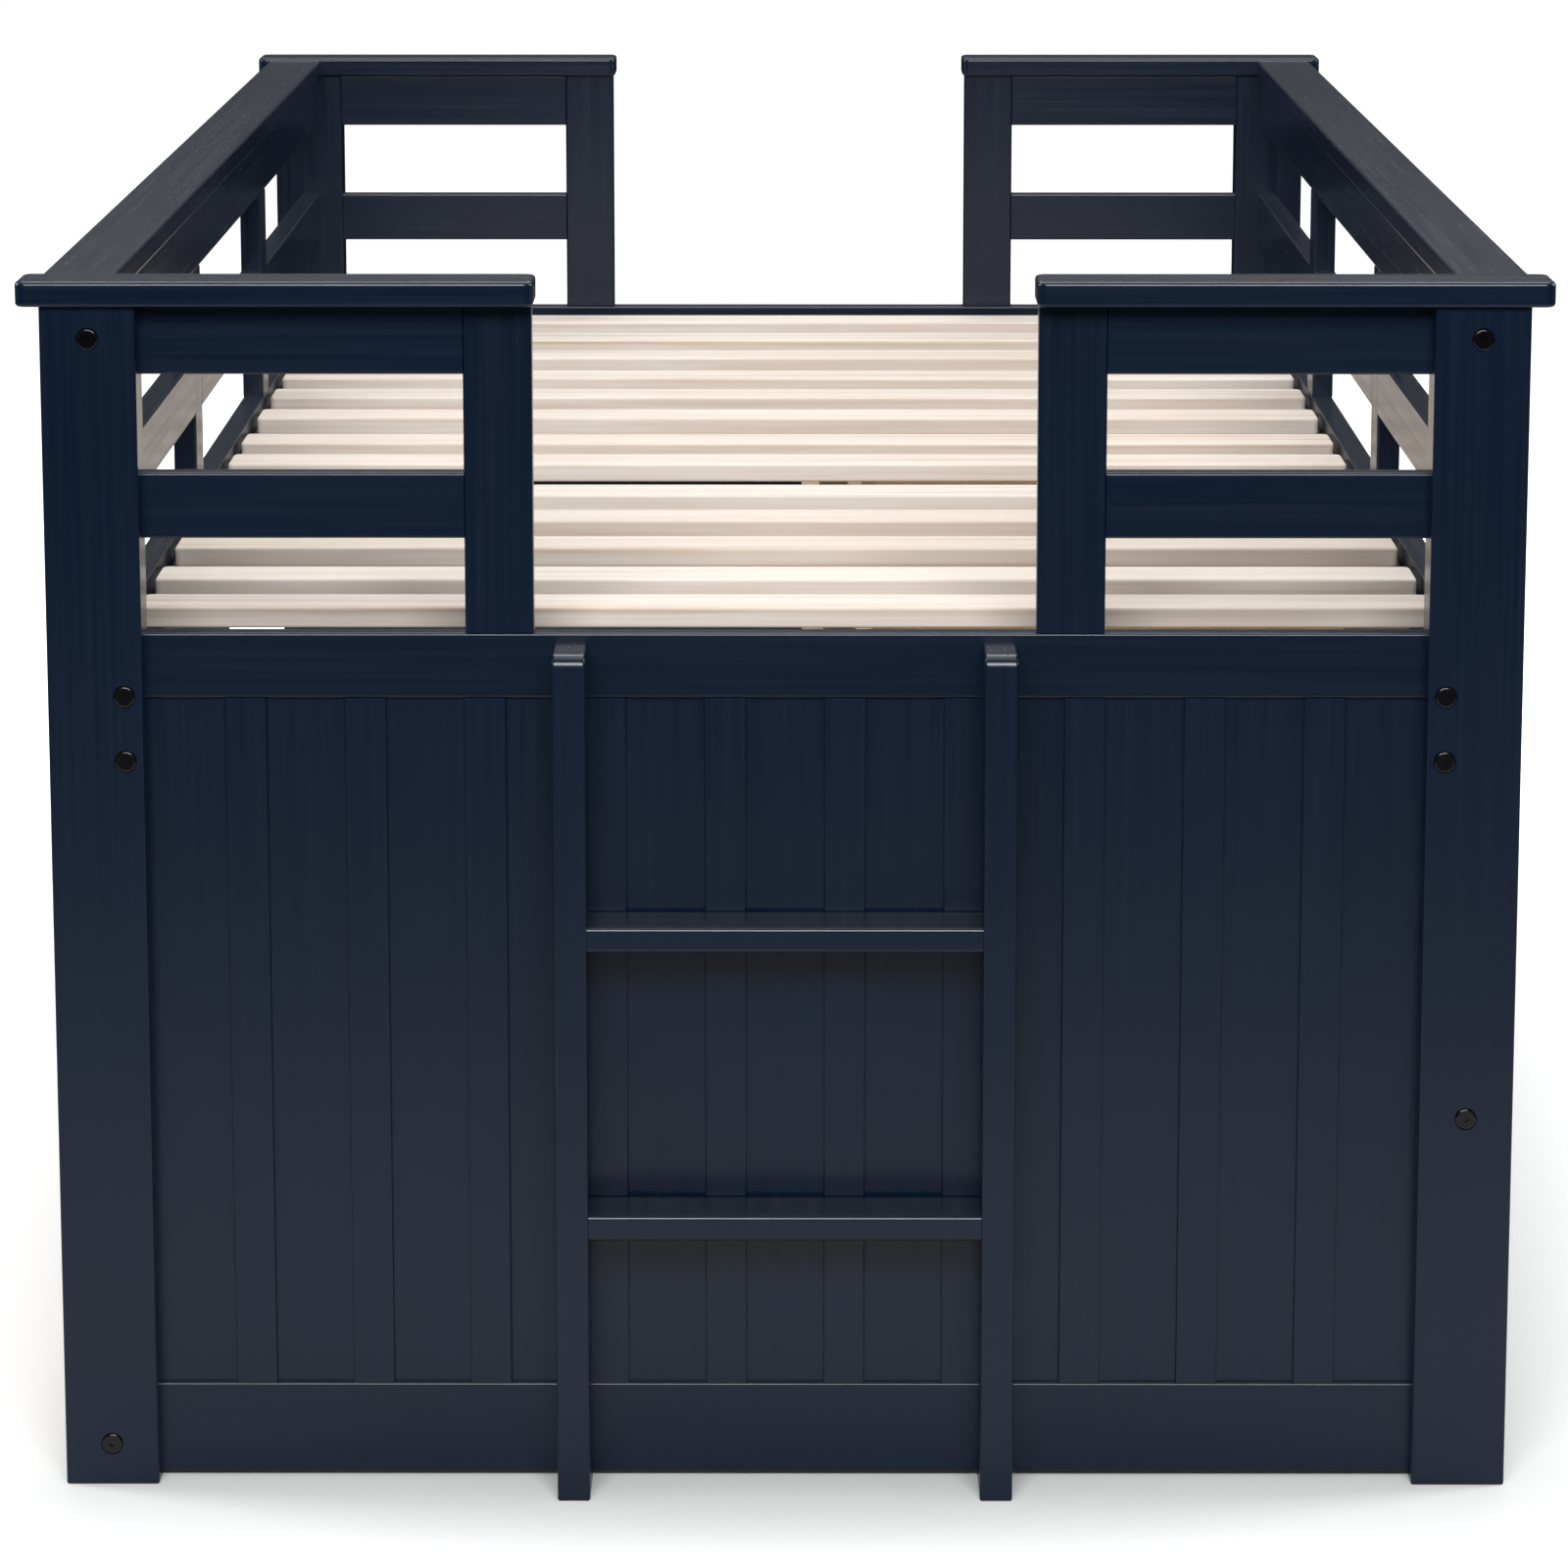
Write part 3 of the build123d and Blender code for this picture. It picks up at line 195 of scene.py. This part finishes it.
def grain_coordinates(tree, along):
    """Coordinates that ride with the piece, in metres, with X along the board's grain."""
    place = add(tree, "ShaderNodeTexCoord").outputs["Object"]
    axes = add(tree, "ShaderNodeSeparateXYZ", {0: place}).outputs
    order = {"X": (0, 1, 2), "Y": (1, 2, 0), "Z": (2, 0, 1)}[along]
    turned = add(tree, "ShaderNodeCombineXYZ", {i: axes[order[i]] for i in range(3)})
    return turned.outputs[0], axes


def new_material(name, roughness=0.5, metallic=0.0, specular=0.5):
    """A material with a plain shader, ready for its colours."""
    made = bpy.data.materials.new(name)
    made.use_nodes = True
    tree = made.node_tree
    shader = tree.nodes["Principled BSDF"]
    shader.inputs["Roughness"].default_value = roughness
    shader.inputs["Metallic"].default_value = metallic
    shader.inputs["Specular IOR Level"].default_value = specular
    return made, tree, shader


def finish_with(tree, shader, group, bump, distance):
    """Takes colour, roughness and relief from a placed group."""
    for name, socket in (("Color", "Base Color"), ("Roughness", "Roughness")):
        tree.links.new(group.outputs[name], shader.inputs[socket])
    wires = {"Strength": bump, "Distance": distance, "Height": group.outputs["Height"]}
    relief = add(tree, "ShaderNodeBump", wires)
    tree.links.new(relief.outputs["Normal"], shader.inputs["Normal"])


def bare_wood(name, along, colours, streaks, variety=0.2, rows=None):
    """Bare wood. Rows give the first board's place along Y and the step to the next."""
    made, tree, shader = new_material(name, specular=BARE_WOOD_SPECULAR)
    vector, axes = grain_coordinates(tree, along)
    board = 0.0
    if rows:
        counted = maths(tree, "DIVIDE", maths(tree, "SUBTRACT", axes[1], rows[0]), rows[1])
        board = maths(tree, "FLOOR", counted)
    group = add(tree, "ShaderNodeGroup", node_tree=WOOD_GRAIN)
    wires = {"Board": board, "Streaks": streaks, "Variety": variety, "Vector": vector}
    wires.update(zip(("Pale", "Tan", "Streak"), colours))
    for label, value in wires.items():
        if isinstance(value, bpy.types.NodeSocket):
            tree.links.new(value, group.inputs[label])
        else:
            group.inputs[label].default_value = value
    finish_with(tree, shader, group, BARE_WOOD_BUMP, BARE_WOOD_RELIEF)
    return made


def lacquered(name, along):
    """Navy lacquer over wood whose grain runs one way."""
    made, tree, shader = new_material(name)
    vector, _ = grain_coordinates(tree, along)
    coat = {"Color": NAVY, "Shade": NAVY_DEEP, "Grain": LACQUER_GRAIN}
    coat.update({"Smooth": LACQUER_SMOOTH, "Rough": LACQUER_ROUGH})
    group = add(tree, "ShaderNodeGroup", node_tree=LACQUER)
    tree.links.new(vector, group.inputs["Vector"])
    for label, value in coat.items():
        group.inputs[label].default_value = value
    finish_with(tree, shader, group, LACQUER_BUMP, LACQUER_RELIEF)
    return made


def turned_metal(name, colour, roughness, metallic, bump):
    """Metal or moulded plastic with a fine even tooth."""
    made, tree, shader = new_material(name, roughness, metallic)
    shader.inputs["Base Color"].default_value = colour
    place = add(tree, "ShaderNodeTexCoord").outputs["Object"]
    tooth = noise(tree, place, 900.0, 2.0, 0.5)
    wires = {"Strength": bump, "Distance": METAL_TOOTH_RELIEF, "Height": tooth}
    relief = add(tree, "ShaderNodeBump", wires)
    tree.links.new(relief.outputs["Normal"], shader.inputs["Normal"])
    smudges = noise(tree, place, 60.0, 2.0, 0.5)
    worn = ranged(tree, smudges, 0.3, 0.7, roughness * 0.8, roughness * 1.25)
    tree.links.new(worn, shader.inputs["Roughness"])
    return made


# Finishes by node

SLAT_COLOURS = (SLAT_PALE, SLAT_TAN, SLAT_PINK)
PLY_COLOURS = (PLY_PALE, PLY_TAN, PLY_STREAK)
BEECH_COLOURS = (BEECH_PALE, BEECH_TAN, BEECH_STREAK)

upright_lacquer = lacquered("navy_lacquer_upright", "Z")
across_lacquer = lacquered("navy_lacquer_across", "X")
along_lacquer = lacquered("navy_lacquer_along", "Y")
bolt_black = turned_metal("gloss_black_bolt", GLOSS_BLACK, roughness=0.12, metallic=0.0, bump=0.02)
knob_black = turned_metal("satin_black_knob", KNOB_BLACK, roughness=0.32, metallic=0.0, bump=0.08)
wheel_plastic = turned_metal("moulded_wheel", WHEEL_GREY, roughness=0.45, metallic=0.0, bump=0.15)
zinc_plate = turned_metal("zinc_plate", ZINC, roughness=0.34, metallic=1.0, bump=0.10)
bed_slat_wood = bare_wood("bed_slat_wood", "X", SLAT_COLOURS, 0.75, 0.4, SLAT_ROWS)
trundle_slat_wood = bare_wood("trundle_slat_wood", "X", SLAT_COLOURS, 0.75, 0.4, TRUNDLE_SLAT_ROWS)
cleat_wood = bare_wood("cleat_wood", "X", SLAT_COLOURS, streaks=0.3)
board_wood_along = bare_wood("case_board_along", "Y", PLY_COLOURS, streaks=0.5, variety=0.15)
board_wood_across = bare_wood("case_board_across", "X", PLY_COLOURS, streaks=0.5, variety=0.15)
beech = bare_wood("beech", "X", BEECH_COLOURS, streaks=0.4)

MATERIALS = {
    upright_lacquer: "_post _panel _battens _guard_stiles drawer_dividers ladder_stiles",
    across_lacquer: "_top_rail _bottom_rail front_guard_rails rear_guard_rails _caps ladder_treads",
    along_lacquer: "left_guard_rails right_guard_rails _side_rail _cap _ledger left_low_rail "
    "right_mid_rail _drawer_face trundle_face",
    bolt_black: "ladder_bolts frame_bolts",
    knob_black: "_knobs",
    wheel_plastic: "_wheels",
    zinc_plate: "barrel_nuts trundle_casters",
    bed_slat_wood: "bed_slats",
    trundle_slat_wood: "trundle_slats",
    cleat_wood: "deck_cleats",
    board_wood_along: "case_deck case_back _drawer_box trundle_frame",
    board_wood_across: "case_sides",
    beech: "dowels slat_pins drawer_runners",
}


def finish_for(node):
    """The material whose list of name endings has this node's."""
    for material, endings in MATERIALS.items():
        if any(node.endswith(ending) for ending in endings.split()):
            return material
    raise ValueError("no finish for " + node)


for name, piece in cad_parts.items():
    piece.data.materials.clear()
    piece.data.materials.append(finish_for(name))


# The studio

FLOOR_SIZE = 40.0
FLOOR_COLOUR = (0.88, 0.88, 0.88, 1.0)
# Painted reflection: rays other than the camera's see the floor grey near the bed and near black further
# off, so the lacquer reflects a dark floor and the floor gives back less light
FLOOR_NEAR_COLOUR = (0.55, 0.55, 0.56, 1.0)
FLOOR_FAR_COLOUR = (0.04, 0.04, 0.045, 1.0)
REFLECTED_FLOOR_FADE = (0.3, 2.6)
WHITE_FLOOR_FADE = (-0.08, 0.7)
BED_HALF_SIZE = (0.58, 1.03)
WORLD_LIGHT = 0.08

# Each softbox has its place, the point it is aimed at, its width and height, and its watts
SOFTBOXES = {
    "overhead": ((0.0, 0.2, 3.4), (0.0, 0.1, 0.0), (3.2, 3.6), 60.0),
    "front_high": ((0.0, -5.2, 3.2), (0.0, -0.2, 0.5), (3.4, 1.6), 250.0),
    "rear_high": ((0.0, 4.4, 4.0), (0.0, 0.4, 0.4), (3.4, 1.6), 60.0),
    "left_high": ((-4.4, 0.3, 2.6), (0.0, 0.2, 0.4), (1.6, 3.4), 110.0),
    "right_high": ((4.4, 0.3, 2.6), (0.0, 0.2, 0.4), (1.6, 3.4), 110.0),
}

# The camera that was fitted to the photograph, with its angles in radians
CAMERA_PLACE = (0.00876, -5.22762, 1.46368)
CAMERA_DIP = 0.188927
CAMERA_TURN = 0.002258
CAMERA_LENS = 131.14
CAMERA_SENSOR = 36.0
CAMERA_SHIFT = -0.08


def distance_from_bed(tree):
    """How far a point of the floor lies outside the bed's own rectangle."""
    place = add(tree, "ShaderNodeTexCoord").outputs["Object"]
    axes = add(tree, "ShaderNodeSeparateXYZ", {0: place}).outputs
    reach = [maths(tree, "SUBTRACT", maths(tree, "ABSOLUTE", axes[i]), BED_HALF_SIZE[i]) for i in (0, 1)]
    return maths(tree, "MAXIMUM", reach[0], reach[1])


def studio_floor():
    """A plain pale floor, white away from the bed, and dark there in the paint's reflections."""
    half = FLOOR_SIZE / 2
    corners = [(-half, -half, 0.0), (half, -half, 0.0), (half, half, 0.0), (-half, half, 0.0)]
    mesh = bpy.data.meshes.new("studio_floor")
    mesh.from_pydata(corners, [], [(0, 1, 2, 3)])
    floor = bpy.data.objects.new("studio_floor", mesh)
    bpy.context.scene.collection.objects.link(floor)
    made, tree, shader = new_material("studio_floor", 0.9, specular=0.0)
    seen = add(tree, "ShaderNodeLightPath").outputs["Is Camera Ray"]
    distance = distance_from_bed(tree)
    # Painted reflection and painted shade: reflected and bounced rays see a grey floor near the bed, fading
    # to near black further off
    far = ranged(tree, distance, *REFLECTED_FLOOR_FADE, 0.0, 1.0)
    unseen = blended(tree, far, FLOOR_NEAR_COLOUR, FLOOR_FAR_COLOUR)
    tree.links.new(blended(tree, seen, unseen, FLOOR_COLOUR), shader.inputs["Base Color"])
    shader.inputs["Emission Color"].default_value = (1.0, 1.0, 1.0, 1.0)
    white = ranged(tree, distance, *WHITE_FLOOR_FADE, 0.0, 1.0)
    tree.links.new(maths(tree, "MULTIPLY", seen, white), shader.inputs["Emission Strength"])
    mesh.materials.append(made)


def studio_world():
    """White where the camera looks past the floor, and a low even light for the rest."""
    world = bpy.data.worlds.new("studio")
    bpy.context.scene.world = world
    world.use_nodes = True
    tree = world.node_tree
    seen = add(tree, "ShaderNodeLightPath").outputs["Is Camera Ray"]
    background = tree.nodes["Background"]
    background.inputs["Color"].default_value = (1.0, 1.0, 1.0, 1.0)
    tree.links.new(ranged(tree, seen, 0.0, 1.0, WORLD_LIGHT, 1.0), background.inputs["Strength"])


def softbox(name, place, aim, size, watts):
    """A large soft lamp aimed at a point."""
    lamp = bpy.data.lights.new(name, "AREA")
    lamp.shape = "RECTANGLE"
    lamp.size, lamp.size_y = size
    lamp.energy = watts
    holder = bpy.data.objects.new(name, lamp)
    bpy.context.scene.collection.objects.link(holder)
    holder.location = place
    direction = [aim[i] - place[i] for i in range(3)]
    flat = math.hypot(direction[0], direction[1])
    tilt = math.atan2(flat, -direction[2])
    holder.rotation_euler = (tilt, 0.0, math.atan2(-direction[0], direction[1]))


def photo_camera():
    """The photograph's view: from above the ladder end, looking a little down the bed."""
    camera = bpy.data.cameras.new("photo_view")
    camera.sensor_width = CAMERA_SENSOR
    camera.lens = CAMERA_LENS
    camera.shift_y = CAMERA_SHIFT
    camera.clip_end = 100.0
    holder = bpy.data.objects.new("photo_view", camera)
    bpy.context.scene.collection.objects.link(holder)
    holder.location = CAMERA_PLACE
    holder.rotation_euler = (math.pi / 2 - CAMERA_DIP, 0.0, CAMERA_TURN)
    bpy.context.scene.camera = holder


studio_floor()
studio_world()
for name, (place, aim, size, watts) in SOFTBOXES.items():
    softbox(name, place, aim, size, watts)
photo_camera()
bpy.context.scene.view_settings.view_transform = "Standard"
